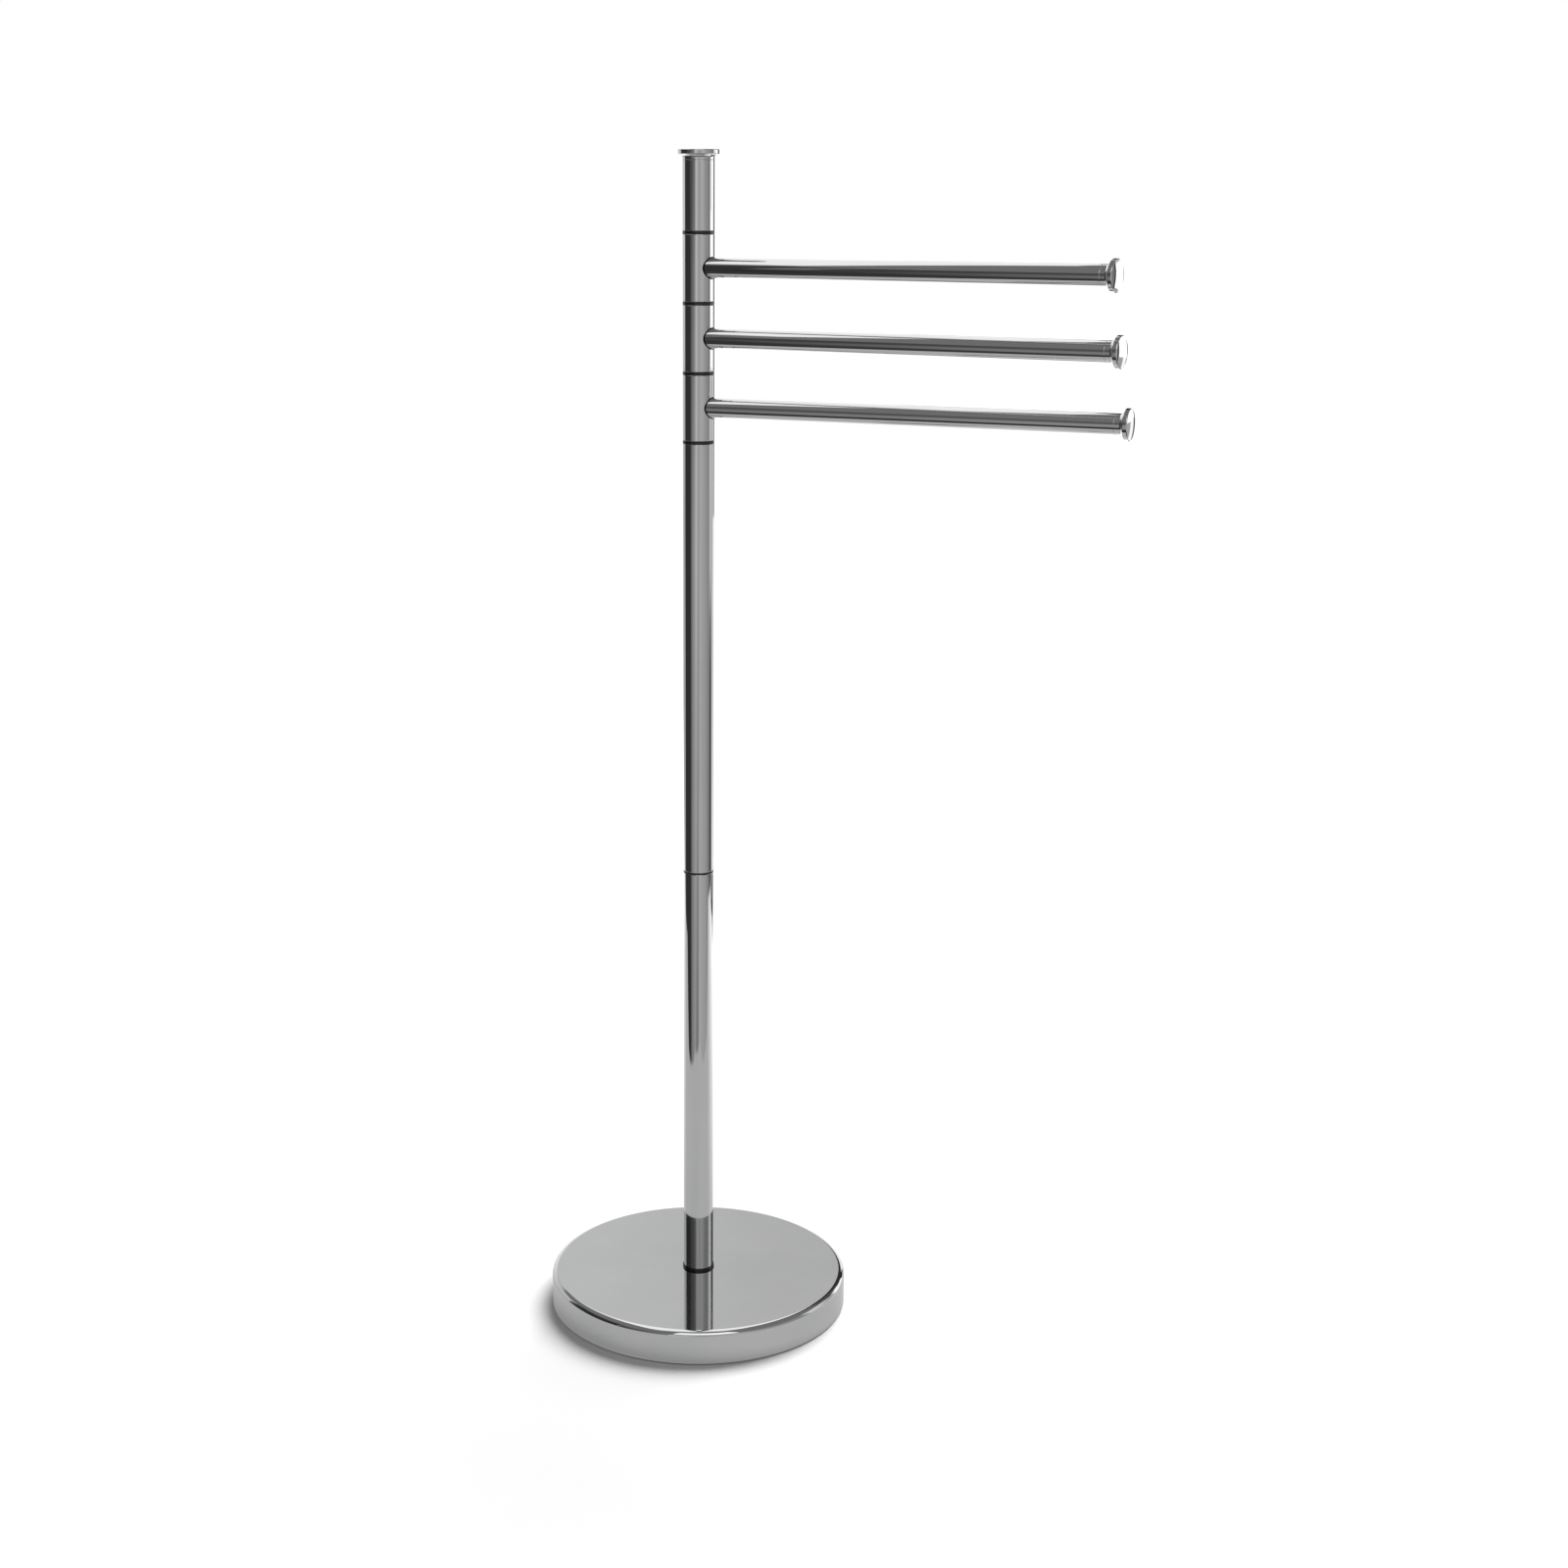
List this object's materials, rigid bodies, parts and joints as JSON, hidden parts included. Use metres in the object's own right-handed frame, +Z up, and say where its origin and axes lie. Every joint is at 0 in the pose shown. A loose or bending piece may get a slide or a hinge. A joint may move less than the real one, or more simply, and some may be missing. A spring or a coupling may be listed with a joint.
{
  "type": "free-standing swivel-arm garment stand",
  "caption": "Free-standing chrome stand with a round weighted base, a slim post of joined tubes, and straight horizontal arms that swivel one above the other to hang garments or towels.",
  "frame": {"origin": "centre of the underside of the base pad, on the post's axis", "axes": "+Z up along the post, +X along the middle arm as stored, +Y to the left of that arm seen from above"},
  "size_m": [0.4732, 0.25, 0.9588],
  "materials": {
    "chrome": "bright chrome plate, mirror polished",
    "black_washer": "glossy black moulded plastic",
    "cast_weight": "as-cast, painted dark grey",
    "plain_steel": "zinc-plated turned steel",
    "nylon": "natural nylon, satin",
    "pad": "black foam rubber"
  },
  "bodies": {
    "stand": {"base_pad": "pad", "base_weight": "cast_weight", "base_cover": "chrome", "base_bolt": "plain_steel", "base_bolt_washer": "plain_steel", "base_washer": "black_washer", "lower_tube": "chrome", "lower_tube_foot_plug": "plain_steel", "lower_tube_head_plug": "plain_steel", "joint_stud": "plain_steel", "joint_washer": "black_washer", "upper_tube": "chrome", "upper_tube_foot_plug": "plain_steel", "upper_tube_head_plug": "plain_steel", "spindle": "plain_steel", "swivel_washer_1": "black_washer", "swivel_washer_2": "black_washer", "swivel_washer_3": "black_washer", "swivel_washer_4": "black_washer", "top_tube": "chrome", "top_tube_plug": "plain_steel", "top_cap": "chrome"},
    "bottom_arm": {"bottom_hub": "chrome", "bottom_hub_lower_bush": "nylon", "bottom_hub_upper_bush": "nylon", "bottom_arm_tube": "chrome", "bottom_arm_cap": "chrome"},
    "middle_arm": {"middle_hub": "chrome", "middle_hub_lower_bush": "nylon", "middle_hub_upper_bush": "nylon", "middle_arm_tube": "chrome", "middle_arm_cap": "chrome"},
    "top_arm": {"top_hub": "chrome", "top_hub_lower_bush": "nylon", "top_hub_upper_bush": "nylon", "top_arm_tube": "chrome", "top_arm_cap": "chrome"}
  },
  "joints": [
    {"name": "bottom_arm_swivel", "type": "hinge", "parent": "stand", "child": "bottom_arm", "pos_m": [0, 0, 0.7606], "axis": [0, 0, 1], "continuous": true},
    {"name": "middle_arm_swivel", "type": "hinge", "parent": "stand", "child": "middle_arm", "pos_m": [0, 0, 0.8144], "axis": [0, 0, 1], "continuous": true},
    {"name": "top_arm_swivel", "type": "hinge", "parent": "stand", "child": "top_arm", "pos_m": [0, 0, 0.8682], "axis": [0, 0, 1], "continuous": true}
  ]
}
